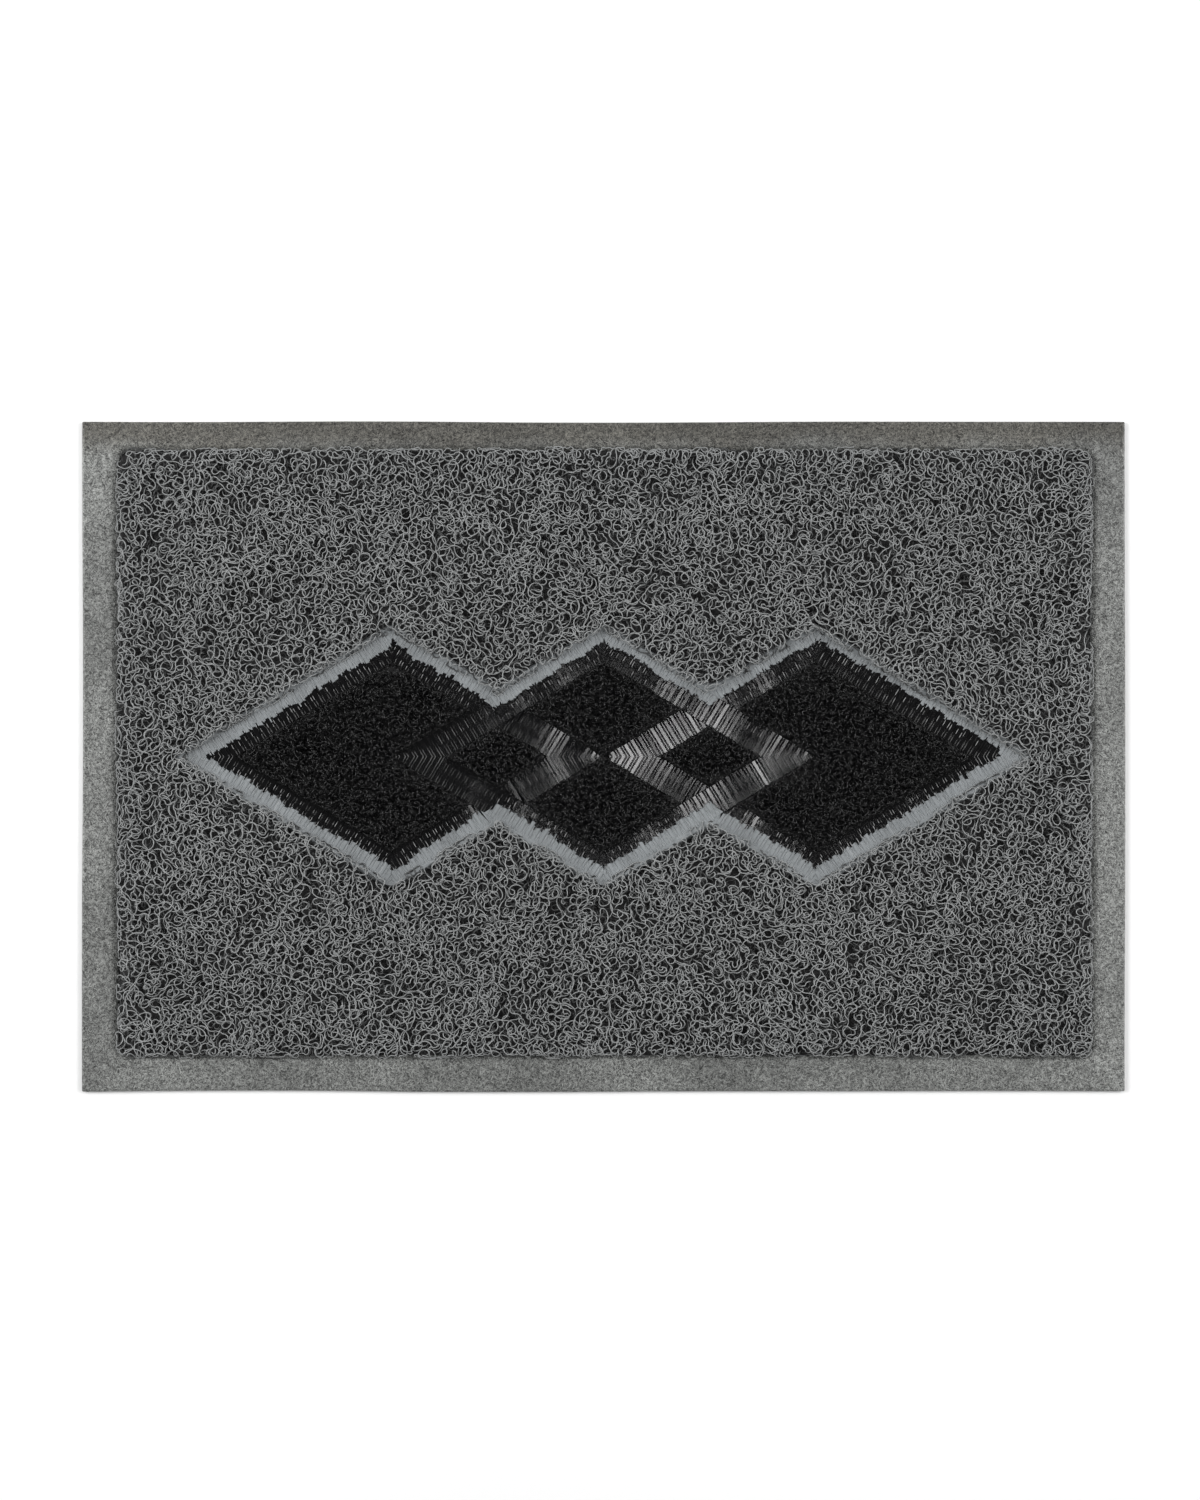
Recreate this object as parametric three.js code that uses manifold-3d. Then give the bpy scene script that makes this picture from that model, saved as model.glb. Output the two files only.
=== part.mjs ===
/**
 * Coil door mat with three interlocking diamonds.
 *
 * A sheet of looped grey vinyl filament is fused to a solid backing sheet. All round the
 * mat the loops are pressed flat into a tapered edge. A sheet of finer black filament is
 * let into the middle, and both sheets are pressed down and welded together along bands
 * that follow three overlapping diamonds, which leaves six islands of black pile standing.
 *
 * Units are millimetres. +X runs along the mat's length, +Y to its back edge and +Z up.
 * The origin is the middle of the underside.
 */
import * as THREE from "three";
import { mergeVertices } from "three/addons/utils/BufferGeometryUtils.js";
import Module from "manifold-3d";

// Whole mat
const MAT_LENGTH = 700;
const MAT_WIDTH = 450;
const MAT_HEIGHT = 12;
const MAT_CORNER_RADIUS = 2;
const BACKING_THICKNESS = 1.6;

// Clearance between neighbouring zones, which are fused on the real mat
const GAP = 0.3;

// Pressed edge: its width on each side, and its height above the ground
const EDGE_LEFT = 24;
const EDGE_RIGHT = 23;
const EDGE_BACK = 19;
const EDGE_FRONT = 24;
const EDGE_OUTER_HEIGHT = 3;
const EDGE_INNER_HEIGHT = 5;

// Pile: the corners of the grey field, and the rounded shoulder where a pile ends
const FIELD_CORNER_RADIUS = 9;
const SHOULDER = 1.6;
const SHOULDER_STEPS = 2;

// Motif: three equal diamonds in a row, each reaching to its neighbour's centre
const DIAMOND_HALF_LENGTH = 142;
const DIAMOND_HALF_WIDTH = 86;
const DIAMOND_SPACING = 142;
const WELD_WIDTH = 19.5;
const GREY_RIM_WIDTH = 9.5;
const WELD_HEIGHT = 5;

const ARC_SEGMENTS = 6;

// Heights inside the coil layer, which starts just above the backing
const LAYER_BASE = BACKING_THICKNESS + GAP;
const PILE_TOP = MAT_HEIGHT - LAYER_BASE;
const WELD_TOP = WELD_HEIGHT - LAYER_BASE;

const COLOURS = {
  backing: 0x2b2c2d,
  pressedGrey: 0x7c7d7b,
  coilGrey: 0x6f7070,
  weldGrey: 0x8b8f91,
  weldBlack: 0x1f2021,
  coilBlack: 0x161616,
};

const wasm = await Module();
wasm.setup();

function toSolid(geometry) {
  const bare = geometry.clone();
  bare.deleteAttribute("normal");
  bare.deleteAttribute("uv");
  const merged = mergeVertices(bare);
  return new wasm.Manifold(
    new wasm.Mesh({
      numProp: 3,
      vertProperties: new Float32Array(merged.attributes.position.array),
      triVerts: new Uint32Array(merged.index.array),
    }),
  );
}

function toGeometry(solid) {
  const { vertProperties, triVerts } = solid.getMesh();
  const geometry = new THREE.BufferGeometry();
  geometry.setAttribute("position", new THREE.BufferAttribute(vertProperties, 3));
  geometry.setIndex(new THREE.BufferAttribute(triVerts, 1));
  geometry.computeVertexNormals();
  return geometry;
}

function polygon(points) {
  return new THREE.Shape(points.map(([x, y]) => new THREE.Vector2(x, y)));
}

function roundedRectangle({ left, right, front, back }, radius) {
  const quarter = Math.PI / 2;
  const shape = new THREE.Shape();
  shape.absarc(right - radius, back - radius, radius, 0, quarter);
  shape.absarc(left + radius, back - radius, radius, quarter, 2 * quarter);
  shape.absarc(left + radius, front + radius, radius, 2 * quarter, 3 * quarter);
  shape.absarc(right - radius, front + radius, radius, 3 * quarter, 4 * quarter);
  return shape;
}

/** A plain prism standing on z = 0. */
function prism(shape, height) {
  return new THREE.ExtrudeGeometry(shape, {
    depth: height,
    bevelEnabled: false,
    curveSegments: ARC_SEGMENTS,
  });
}

/** A prism standing on z = 0 whose upper edges are rounded off, as loose loops leave them. */
function pile(shape) {
  const geometry = new THREE.ExtrudeGeometry(shape, {
    depth: PILE_TOP - SHOULDER,
    bevelEnabled: true,
    bevelThickness: SHOULDER,
    bevelSize: SHOULDER,
    bevelOffset: -SHOULDER,
    bevelSegments: SHOULDER_STEPS,
    curveSegments: ARC_SEGMENTS,
  });
  const belowGround = new THREE.BoxGeometry(2 * MAT_LENGTH, 2 * MAT_WIDTH, MAT_HEIGHT);
  belowGround.translate(0, 0, -MAT_HEIGHT / 2);
  return toGeometry(toSolid(geometry).subtract(toSolid(belowGround)));
}

/** Half length and half width of a diamond whose sides have moved in by inset. */
function diamondHalves(inset) {
  const sideDistance =
    (DIAMOND_HALF_LENGTH * DIAMOND_HALF_WIDTH) /
    Math.hypot(DIAMOND_HALF_LENGTH, DIAMOND_HALF_WIDTH);
  const scale = 1 - inset / sideDistance;
  return { length: DIAMOND_HALF_LENGTH * scale, width: DIAMOND_HALF_WIDTH * scale };
}

/** The same outline, turned half a turn about the middle of the mat. */
function halfTurn(points) {
  return points.map(([x, y]) => [-x, -y]);
}

/** Outline round all three diamonds, counter-clockwise, with its sides moved in by inset. */
function motifOutline(inset) {
  const { length, width } = diamondHalves(inset);
  const notch = [DIAMOND_SPACING / 2, width * (1 - DIAMOND_SPACING / 2 / length)];
  const backHalf = [
    [DIAMOND_SPACING + length, 0],
    [DIAMOND_SPACING, width],
    notch,
    [0, width],
    [-notch[0], notch[1]],
    [-DIAMOND_SPACING, width],
  ];
  return polygon([...backHalf, ...halfTurn(backHalf)]);
}

/**
 * Outlines of the pile left standing between the weld bands, with their sides moved in by
 * clearance. Each has a twin, turned half a turn about the middle of the mat.
 */
function islandOutlines(clearance) {
  const slope = DIAMOND_HALF_WIDTH / DIAMOND_HALF_LENGTH;
  const inner = diamondHalves(WELD_WIDTH + clearance);
  const crossing = diamondHalves(-clearance);

  const cutX = (inner.length - DIAMOND_SPACING - crossing.length) / 2;
  const cutY = slope * (cutX + crossing.length);
  const end = [
    [-DIAMOND_SPACING - inner.length, 0],
    [-DIAMOND_SPACING, inner.width],
    [cutX, cutY],
    [-crossing.length, 0],
    [cutX, -cutY],
    [-DIAMOND_SPACING, -inner.width],
  ];

  const sideX = (inner.length + DIAMOND_SPACING - crossing.length) / 2;
  const middle = [
    [0, inner.width],
    [sideX, inner.width - slope * sideX],
    [0, slope * (crossing.length - DIAMOND_SPACING)],
    [-sideX, inner.width - slope * sideX],
  ];

  const smallLength = inner.length - DIAMOND_SPACING / 2;
  const small = [
    [-DIAMOND_SPACING / 2 - smallLength, 0],
    [-DIAMOND_SPACING / 2, slope * smallLength],
    [-DIAMOND_SPACING / 2 + smallLength, 0],
    [-DIAMOND_SPACING / 2, -slope * smallLength],
  ];
  return { end, middle, small };
}

const matSides = {
  left: -MAT_LENGTH / 2,
  right: MAT_LENGTH / 2,
  front: -MAT_WIDTH / 2,
  back: MAT_WIDTH / 2,
};

/** Sides of the grey field, moved out by grow. */
function fieldSides(grow) {
  return {
    left: matSides.left + EDGE_LEFT - grow,
    right: matSides.right - EDGE_RIGHT + grow,
    front: matSides.front + EDGE_FRONT - grow,
    back: matSides.back - EDGE_BACK + grow,
  };
}

/** Corners of a rectangle, counter-clockwise from the front left, moved in by inset. */
function corners({ left, right, front, back }, inset) {
  return [
    new THREE.Vector2(left + inset, front + inset),
    new THREE.Vector2(right - inset, front + inset),
    new THREE.Vector2(right - inset, back - inset),
    new THREE.Vector2(left + inset, back - inset),
  ];
}

/**
 * One side of the pressed edge, from corner to the next one counter-clockwise: a bar with a
 * tapered section, mitred at both ends and cut back from the rounded corners of the field.
 */
function pressedEdge(corner, width) {
  const outer = corners(matSides, 0);
  const inner = corners(fieldSides(0), FIELD_CORNER_RADIUS);
  const next = (corner + 1) % outer.length;
  const along = outer[next].clone().sub(outer[corner]);
  const length = along.length();
  along.normalize();

  const reach = width + 2 * FIELD_CORNER_RADIUS;
  const section = polygon([
    [0, 0],
    [0, EDGE_OUTER_HEIGHT - LAYER_BASE],
    [width, EDGE_INNER_HEIGHT - LAYER_BASE],
    [reach, EDGE_INNER_HEIGHT - LAYER_BASE],
    [reach, 0],
  ]);
  const bar = prism(section, length);
  const inward = new THREE.Vector3(-along.y, along.x, 0);
  const up = new THREE.Vector3(0, 0, 1);
  const lengthwise = new THREE.Vector3(along.x, along.y, 0);
  const place = new THREE.Matrix4().makeBasis(inward, up, lengthwise);
  place.setPosition(outer[corner].x, outer[corner].y, 0);
  bar.applyMatrix4(place);

  const mitreGap = along.clone().multiplyScalar(GAP / Math.SQRT2);
  const mitred = new THREE.Shape([
    outer[corner].clone().add(mitreGap),
    outer[next].clone().sub(mitreGap),
    inner[next].clone().sub(mitreGap),
    inner[corner].clone().add(mitreGap),
  ]);
  const field = roundedRectangle(fieldSides(GAP), FIELD_CORNER_RADIUS + GAP);
  const mat = roundedRectangle(matSides, MAT_CORNER_RADIUS);
  const strip = toSolid(bar)
    .intersect(toSolid(prism(mitred, MAT_HEIGHT)))
    .intersect(toSolid(prism(mat, MAT_HEIGHT)))
    .subtract(toSolid(prism(field, MAT_HEIGHT)));
  return toGeometry(strip);
}

function greyField() {
  const shape = roundedRectangle(fieldSides(0), FIELD_CORNER_RADIUS);
  shape.holes.push(motifOutline(0));
  return pile(shape);
}

function greyWeldRim() {
  const shape = motifOutline(GAP);
  shape.holes.push(motifOutline(GREY_RIM_WIDTH));
  return prism(shape, WELD_TOP);
}

function blackWeldLattice() {
  const shape = motifOutline(GREY_RIM_WIDTH + GAP);
  for (const points of Object.values(islandOutlines(0))) {
    shape.holes.push(polygon(points), polygon(halfTurn(points)));
  }
  return prism(shape, WELD_TOP);
}

function part(name, geometry, colour, roughness) {
  const material = new THREE.MeshStandardMaterial({ color: colour, roughness, metalness: 0 });
  const mesh = new THREE.Mesh(geometry, material);
  mesh.name = name;
  return mesh;
}

const mat = new THREE.Group();
const backing = prism(roundedRectangle(matSides, MAT_CORNER_RADIUS), BACKING_THICKNESS);
mat.add(part("backing_sheet", backing, COLOURS.backing, 0.7));

const coilLayer = new THREE.Group();
coilLayer.position.z = LAYER_BASE;
mat.add(coilLayer);

const edges = [
  ["pressed_edge_front", EDGE_FRONT],
  ["pressed_edge_right", EDGE_RIGHT],
  ["pressed_edge_back", EDGE_BACK],
  ["pressed_edge_left", EDGE_LEFT],
];
edges.forEach(([name, width], corner) => {
  coilLayer.add(part(name, pressedEdge(corner, width), COLOURS.pressedGrey, 0.6));
});

coilLayer.add(part("grey_coil_field", greyField(), COLOURS.coilGrey, 0.5));
coilLayer.add(part("grey_weld_rim", greyWeldRim(), COLOURS.weldGrey, 0.45));
coilLayer.add(part("black_weld_lattice", blackWeldLattice(), COLOURS.weldBlack, 0.25));

const islandNames = {
  end: ["black_pile_left", "black_pile_right"],
  middle: ["black_pile_back", "black_pile_front"],
  small: ["black_pile_small_left", "black_pile_small_right"],
};
for (const [kind, points] of Object.entries(islandOutlines(GAP))) {
  islandNames[kind].forEach((name, twin) => {
    const island = part(name, pile(polygon(points)), COLOURS.coilBlack, 0.4);
    island.rotation.z = twin * Math.PI;
    coilLayer.add(island);
  });
}

export default mat;
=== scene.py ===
import itertools
import math

import bpy
import numpy as np
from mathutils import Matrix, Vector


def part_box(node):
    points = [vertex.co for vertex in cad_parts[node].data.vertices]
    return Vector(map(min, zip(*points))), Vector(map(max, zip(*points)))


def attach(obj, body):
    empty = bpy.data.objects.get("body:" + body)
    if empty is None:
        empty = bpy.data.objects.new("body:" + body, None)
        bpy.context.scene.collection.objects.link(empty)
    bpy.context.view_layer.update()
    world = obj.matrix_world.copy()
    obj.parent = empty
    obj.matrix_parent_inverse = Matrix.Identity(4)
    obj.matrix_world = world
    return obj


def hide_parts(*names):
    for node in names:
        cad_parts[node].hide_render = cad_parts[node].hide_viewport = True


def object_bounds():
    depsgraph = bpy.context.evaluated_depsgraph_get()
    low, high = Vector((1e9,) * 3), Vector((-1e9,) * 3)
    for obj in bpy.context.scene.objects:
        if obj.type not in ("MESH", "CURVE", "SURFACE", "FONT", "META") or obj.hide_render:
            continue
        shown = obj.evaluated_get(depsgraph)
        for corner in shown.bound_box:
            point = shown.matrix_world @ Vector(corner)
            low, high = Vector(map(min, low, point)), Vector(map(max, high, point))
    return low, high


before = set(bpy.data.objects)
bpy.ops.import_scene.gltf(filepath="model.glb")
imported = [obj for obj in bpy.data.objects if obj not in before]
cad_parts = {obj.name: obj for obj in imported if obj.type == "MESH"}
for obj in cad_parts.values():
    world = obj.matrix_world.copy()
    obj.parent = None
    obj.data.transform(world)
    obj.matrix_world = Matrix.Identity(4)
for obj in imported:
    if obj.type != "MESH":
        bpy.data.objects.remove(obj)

bl_info = {
    "name": "Looped vinyl door mat",
    "version": (1, 0, 0),
    "blender": (4, 5, 0),
    "location": "View3D > Sidebar > Door mat",
    "description": "Makes a coil door mat with an inlaid motif of three diamonds round its CAD frame",
    "category": "Object",
}

MM = 0.001
MERGE = 0.02 * MM  # points nearer than this become one point
WHITE = (1.0, 1.0, 1.0, 1.0)
VINYL_IOR = 1.53
MULTIPLY = {"data_type": "RGBA", "blend_type": "MULTIPLY"}

# The driving sizes, read from the CAD nodes. A node stops a fraction of a millimetre short of
# its neighbour, so the motif's sizes are brought back to whole millimetres.
CAD_LOW, CAD_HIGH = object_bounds()
FIELD_LOW, FIELD_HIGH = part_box("grey_coil_field")
BACKING_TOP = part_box("backing_sheet")[1].z
MOTIF_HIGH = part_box("grey_weld_rim")[1]
PILE_TOP = FIELD_HIGH.z
WELD_TOP = MOTIF_HIGH.z
HALF_LENGTH = round(MOTIF_HIGH.x / 2, 3)
HALF_WIDTH = round(MOTIF_HIGH.y, 3)
SIDE = math.hypot(HALF_LENGTH, HALF_WIDTH)
CENTRES = (-HALF_LENGTH, 0.0, HALF_LENGTH)
MAT_HALF = np.array(CAD_HIGH[:2])
NECK = 4 * MM  # how far from the mat's middle the outer diamonds' bands end


def srgb(code):
    """A hex sRGB colour as linear red, green, blue and alpha."""
    parts = [int(code[n:n + 2], 16) / 255 for n in (0, 2, 4)]
    return (*[p / 12.92 if p <= 0.04045 else ((p + 0.055) / 1.055) ** 2.4 for p in parts], 1.0)


def length(name, description, default):
    """A property that holds a length in metres."""
    return bpy.props.FloatProperty(
        name=name, description=description, default=default, min=0, unit="LENGTH", precision=5
    )


def colour(name, description, code):
    """A property that holds a colour."""
    return bpy.props.FloatVectorProperty(
        name=name, description=description, default=srgb(code), size=4, min=0, max=1,
        subtype="COLOR",
    )


class DoorMatSizes(bpy.types.PropertyGroup):
    """Sizes of the filament, the pressed zones and the ribbed die."""

    grey_filament: length("Grey filament", "Thickness of the grey filament", 0.82 * MM)
    black_filament: length("Black filament", "Thickness of the black filament", 0.68 * MM)
    loop_tight: length("Tightest loop", "Radius of the tightest loops", 1.9 * MM)
    loop_wide: length("Widest loop", "Radius of the widest loops", 5.2 * MM)
    field_corner: length("Field corner", "Radius of the pile's corners", 9 * MM)
    mat_corner: length("Mat corner", "Radius of the mat's corners", 1 * MM)
    edge_rim: length("Rim height", "Height of the pressed edge at its outside", 3 * MM)
    weld_width: length("Weld width", "Width of the ribbed band round each diamond", 19.5 * MM)
    grey_width: length("Grey width", "Mean width of the grey part of the outer bands", 8.7 * MM)
    rib: length("Rib", "Width of a broad rib", 2.5 * MM)
    ridge: length("Ridge", "Width of a fine ridge", 0.85 * MM)
    groove: length("Groove", "Width of the grooves between them", 0.9 * MM)
    cushion: length("Underside cushion", "Size of one cell of the underside's emboss", 10 * MM)


class DoorMatColours(bpy.types.PropertyGroup):
    """Colours of the vinyls."""

    grey: colour("Grey filament", "Extruded grey vinyl", "929494")
    edge: colour("Pressed edge", "Heat-pressed grey vinyl", "a5a7a4")
    scorch: colour("Scorched edge", "Grey vinyl that had more heat", "7c7a73")
    rim: colour("Grey weld", "Die-pressed grey vinyl", "838789")
    black: colour("Black filament", "Extruded black vinyl", "0a0a0b")
    weld: colour("Black weld", "Die-pressed black vinyl", "0d0d0e")
    # Near black partly as painted shade, for the shadow deep in the pile's gaps above the sheet.
    backing: colour("Backing", "Calendered vinyl sheet", "0c0c0d")


# Edit mode steps that come again.
SELECT_ALL = (bpy.ops.mesh.select_all, {"action": "SELECT"})
FACE_OUT = (bpy.ops.mesh.normals_make_consistent, {"inside": False})

# Zones in plan. Each depth is positive inside its zone and falls to zero at the zone's edge.


def diamond_depth(x, y, centre):
    """How far points lie inside the sides of the diamond with that centre."""
    inside = HALF_LENGTH * HALF_WIDTH - HALF_WIDTH * np.abs(x - centre) - HALF_LENGTH * np.abs(y)
    return inside / SIDE


def motif_depth(x, y):
    """How far points lie inside the outline of all three diamonds."""
    return np.max([diamond_depth(x, y, c) for c in CENTRES], axis=0)


def field_depth(x, y):
    """How far points lie inside the rounded rectangle of the grey field."""
    radius = bpy.context.scene.mat_sizes.field_corner
    middle = (FIELD_LOW + FIELD_HIGH) / 2
    past_x = np.abs(x - middle.x) - ((FIELD_HIGH.x - FIELD_LOW.x) / 2 - radius)
    past_y = np.abs(y - middle.y) - ((FIELD_HIGH.y - FIELD_LOW.y) / 2 - radius)
    corner = np.hypot(np.maximum(past_x, 0), np.maximum(past_y, 0))
    return radius - corner - np.minimum(np.maximum(past_x, past_y), 0)


def grey_depth(x, y):
    """How far points lie inside the grey pile, which stands a little over the weld."""
    over_weld = 0.8 * MM
    return np.minimum(field_depth(x, y), over_weld - motif_depth(x, y))


def black_depth(x, y):
    """How far points lie inside the nearest of the six black piles."""
    half = bpy.context.scene.mat_sizes.weld_width / 2
    neck = np.maximum(NECK - np.abs(x), 0)
    bands = [
        np.abs(diamond_depth(x, y, c) - half) - half + (neck if c else 0) for c in CENTRES
    ]
    return np.minimum(np.min(bands, axis=0), motif_depth(x, y) - 2 * half)


def strand_depth(x, y):
    """How far points lie inside the pressed edge, less a margin for a strand's thickness."""
    margin = 0.9 * MM
    from_outside = np.minimum(CAD_HIGH.x - np.abs(x), CAD_HIGH.y - np.abs(y)) - bow(x, y)
    return np.minimum(-field_depth(x, y), from_outside) - margin


def bow(x, y):
    """How far the mat's sides bow inwards where it lies, because it is soft."""
    mean = 0.6 * MM
    wavelength = 260 * MM
    return mean * (1 + np.tanh(ripple(x, y, wavelength, 3)))


def ripple(x, y, wavelength, seed):
    """Smooth noise from -1 to 1 or so, with hills about one wavelength apart."""
    rng = np.random.default_rng(seed)
    total = np.zeros(np.shape(x))
    waves = 9
    for _ in range(waves):
        angle = rng.uniform(0, math.tau)
        pace = math.tau / wavelength * rng.uniform(0.6, 1.5)
        total += np.sin(pace * (x * math.cos(angle) + y * math.sin(angle)) + rng.uniform(0, math.tau))
    return total / math.sqrt(waves)


# Selecting, making and finishing pieces.


def deselect_all():
    """Leaves nothing selected, so that the next operator acts on what it adds."""
    bpy.ops.object.select_all(action="DESELECT")


def alone(piece):
    """Makes this the only selected piece, and the active one."""
    deselect_all()
    piece.select_set(True)
    bpy.context.view_layer.objects.active = piece
    return piece


def new_object(name, data):
    """An object made of that data, put in the scene."""
    made = bpy.data.objects.new(name, data)
    bpy.context.collection.objects.link(made)
    return made


def from_outline(name, points, faces):
    """A new piece with these points and faces, selected alone."""
    mesh = bpy.data.meshes.new(name)
    mesh.from_pydata([tuple(p) for p in points], [], faces)
    return alone(new_object(name, mesh))


def edit(piece, *steps):
    """Runs edit mode steps on a piece that starts selected all over."""
    alone(piece)
    bpy.ops.object.mode_set(mode="EDIT")
    bpy.ops.mesh.select_mode(type="FACE")
    bpy.ops.mesh.select_all(action="SELECT")
    for operator, settings in steps:
        operator(**settings)
    bpy.ops.object.mode_set(mode="OBJECT")


def points_of(piece):
    """A mesh's points as an array."""
    found = np.empty((len(piece.data.vertices), 3))
    piece.data.vertices.foreach_get("co", found.ravel())
    return found


def move_points(piece, places):
    """Gives a mesh's points new places."""
    piece.data.vertices.foreach_set("co", places.ravel())
    piece.data.update()


def join(name, pieces):
    """Joins pieces into one with that name."""
    alone(pieces[0])
    for piece in pieces[1:]:
        piece.select_set(True)
    bpy.ops.object.join()
    pieces[0].name = name
    return pieces[0]


def plan_map(piece):
    """A map for baking, seen from above and leaned so that upright walls have some width."""
    lean = 0.35
    mesh = piece.data
    places = points_of(piece)
    flat = places[:, :2] + lean * places[:, 2:]
    low = flat.min(axis=0)
    flat = (flat - low) / (flat.max(axis=0) - low).max()
    corners = np.empty(len(mesh.loops), dtype=np.int32)
    mesh.loops.foreach_get("vertex_index", corners)
    layer = mesh.uv_layers.new(name="OFBake")
    layer.data.foreach_set("uv", flat[corners].ravel())


def finish_piece(piece, material, slot, *nodes):
    """Gives a piece its material and body, and hides the CAD nodes that it stands for. Its slot is
    not used.
    """
    piece.data.materials.clear()
    piece.data.materials.append(material)
    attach(piece, "root")
    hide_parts(*nodes)
    return piece


# Materials.


def add(tree, kind, values=None, links=None, **settings):
    """Adds a node with its settings, the values of its sockets and the links into it."""
    made = tree.nodes.new(kind)
    for key, value in settings.items():
        setattr(made, key, value)
    for socket, value in (values or {}).items():
        made.inputs[socket].default_value = value
    for socket, source in (links or {}).items():
        tree.links.new(source, made.inputs[socket])
    return made


def toned(base, factor):
    """A colour made darker or lighter by a factor."""
    return (*[min(1.0, part * factor) for part in base[:3]], 1.0)


def new_material(name):
    """An empty material, its node tree and its object coordinates."""
    made = bpy.data.materials.new(name)
    made.use_nodes = True
    made.node_tree.nodes.clear()
    place = add(made.node_tree, "ShaderNodeTexCoord").outputs["Object"]
    return made, made.node_tree, place


def patches(tree, place, size, dark, light, detail=2.0, low=0.3, high=0.7):
    """Cloudy patches of about that size, between two colours."""
    noise = add(
        tree, "ShaderNodeTexNoise",
        {"Scale": 1 / size, "Detail": detail, "Roughness": 0.55}, {"Vector": place},
    )
    ramp = add(tree, "ShaderNodeValToRGB", links={"Fac": noise.outputs["Fac"]})
    ramp.color_ramp.elements[0].position = low
    ramp.color_ramp.elements[0].color = dark
    ramp.color_ramp.elements[1].position = high
    ramp.color_ramp.elements[1].color = light
    return ramp.outputs["Color"]


def finish_material(made, tree, base, roughness, ior, normal=None):
    """Ends a material with a dielectric shader."""
    links = {"Base Color": base, **({"Normal": normal} if normal else {})}
    shader = add(tree, "ShaderNodeBsdfPrincipled", {"Roughness": roughness, "IOR": ior}, links)
    add(tree, "ShaderNodeOutputMaterial", links={"Surface": shader.outputs["BSDF"]})
    return made


def extruded_filament(name, base, roughness):
    """Plasticised PVC, extruded as filament and cooled in a bath: an even satin skin, with slow
    clouds of lighter and darker tone from batches of melt, and slight milky streaks."""
    made, tree, place = new_material(name)
    cloud = patches(tree, place, 60 * MM, toned(base, 0.93), toned(base, 1.06))
    streak = patches(tree, place, 5 * MM, toned(WHITE, 0.86), WHITE)
    tone = add(tree, "ShaderNodeMix", {0: 1.0}, {6: cloud, 7: streak}, **MULTIPLY).outputs[2]
    return finish_material(made, tree, tone, roughness, VINYL_IOR)


def fibres(tree, place, turn, width, run):
    """Streaks of that width and length, lying in one direction, as a factor."""
    laid = add(
        tree, "ShaderNodeMapping",
        {"Rotation": (0, 0, math.radians(turn)), "Scale": (width, run, run)},
        {"Vector": place}, vector_type="TEXTURE",
    )
    return add(
        tree, "ShaderNodeTexNoise", {"Scale": 1.0, "Detail": 1.0, "Distortion": 0.6},
        {"Vector": laid.outputs["Vector"]},
    ).outputs["Fac"]


def heat_pressed_vinyl(name, base, scorched):
    """Looped PVC pressed flat between hot plates: flattened strands melted into a felt-like
    skin, speckled where they part, and browner at the back where the plate ran hotter."""
    made, tree, place = new_material(name)
    felt = None
    for turn in (10, 55, 100, 145):
        layer = fibres(tree, place, turn, 0.55 * MM, 2.6 * MM)
        if felt is not None:
            both = {0: felt, 1: layer}
            layer = add(tree, "ShaderNodeMath", links=both, operation="MAXIMUM").outputs[0]
        felt = layer
    strands = add(tree, "ShaderNodeValToRGB", links={"Fac": felt})
    strands.color_ramp.elements[0].position = 0.5
    strands.color_ramp.elements[0].color = toned(WHITE, 0.1)
    strands.color_ramp.elements[1].position = 0.72
    strands.color_ramp.elements[1].color = WHITE
    cloud = patches(tree, place, 120 * MM, toned(WHITE, 0.7), WHITE, 3.0, 0.38, 0.6)
    speckle = patches(tree, place, 2.5 * MM, toned(WHITE, 0.7), WHITE, 4.0, 0.34, 0.52)
    split = add(tree, "ShaderNodeSeparateXYZ", links={"Vector": place})
    drift = add(
        tree, "ShaderNodeTexNoise", {"Scale": 1 / (60 * MM), "Detail": 4.0}, {"Vector": place}
    )
    wander = {0: drift.outputs["Fac"]}
    edge = add(tree, "ShaderNodeMath", {1: 26 * MM}, wander, operation="MULTIPLY")
    both = {0: split.outputs["Y"], 1: edge.outputs[0]}
    reach = add(tree, "ShaderNodeMath", links=both, operation="ADD")
    heat = add(
        tree, "ShaderNodeMapRange",
        {"From Min": FIELD_HIGH.y + 4 * MM, "From Max": FIELD_HIGH.y + 24 * MM},
        {"Value": reach.outputs[0]}, interpolation_type="SMOOTHSTEP",
    )
    ends = {6: base, 7: scorched}
    hot = {0: heat.outputs["Result"]}
    tone = add(tree, "ShaderNodeMix", ends, hot, data_type="RGBA").outputs[2]
    for pattern in (cloud, strands.outputs["Color"], speckle):
        tone = add(tree, "ShaderNodeMix", {0: 1.0}, {6: tone, 7: pattern}, **MULTIPLY).outputs[2]
    bump = add(tree, "ShaderNodeBump", {"Strength": 0.6, "Distance": 0.3 * MM}, {"Height": felt})
    return finish_material(made, tree, tone, 0.46, VINYL_IOR, bump.outputs["Normal"])


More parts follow.
